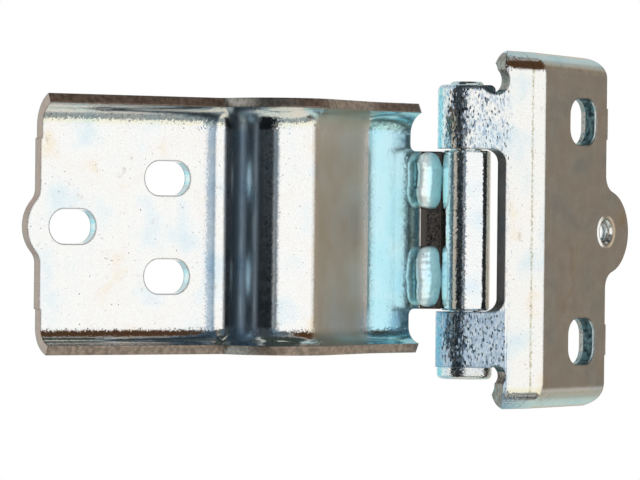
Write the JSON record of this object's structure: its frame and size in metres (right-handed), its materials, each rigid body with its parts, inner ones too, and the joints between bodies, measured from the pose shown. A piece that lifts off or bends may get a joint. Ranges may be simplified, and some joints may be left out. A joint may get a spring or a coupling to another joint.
{
  "type": "car door hinge",
  "caption": "Pressed-steel car door hinge: a pillar bracket with rolled knuckles and a joggled, slotted door leaf whose welded barrel turns on the pin.",
  "frame": {"origin": "on the pillar bracket's seat face, half way between its two bolt holes", "axes": "+Z along the hinge pin, towards its peened end; the pillar seat faces -Y; the bracket's plate runs along +X from the knuckles"},
  "size_m": [0.1742, 0.0639, 0.0913],
  "materials": {
    "door_leaf": "bright zinc plating",
    "barrel_tube": "bright zinc plating",
    "weld_metal": "zinc-plated weld",
    "pillar_bracket": "bright zinc plating",
    "backing_plate": "dull zinc plating",
    "hinge_pin": "bright zinc plating"
  },
  "bodies": {
    "bracket": {"pillar_bracket": "pillar_bracket", "backing_plate": "backing_plate", "hinge_pin": "hinge_pin"},
    "leaf": {"door_leaf": "door_leaf", "barrel_tube": "barrel_tube", "upper_weld_bead": "weld_metal", "lower_weld_bead": "weld_metal"}
  },
  "joints": [
    {"name": "door_swing", "type": "hinge", "parent": "bracket", "child": "leaf", "pos_m": [-0.03165, 0.0152, 0], "axis": [0, 0, -1], "range_deg": [-19.5, 70]}
  ]
}
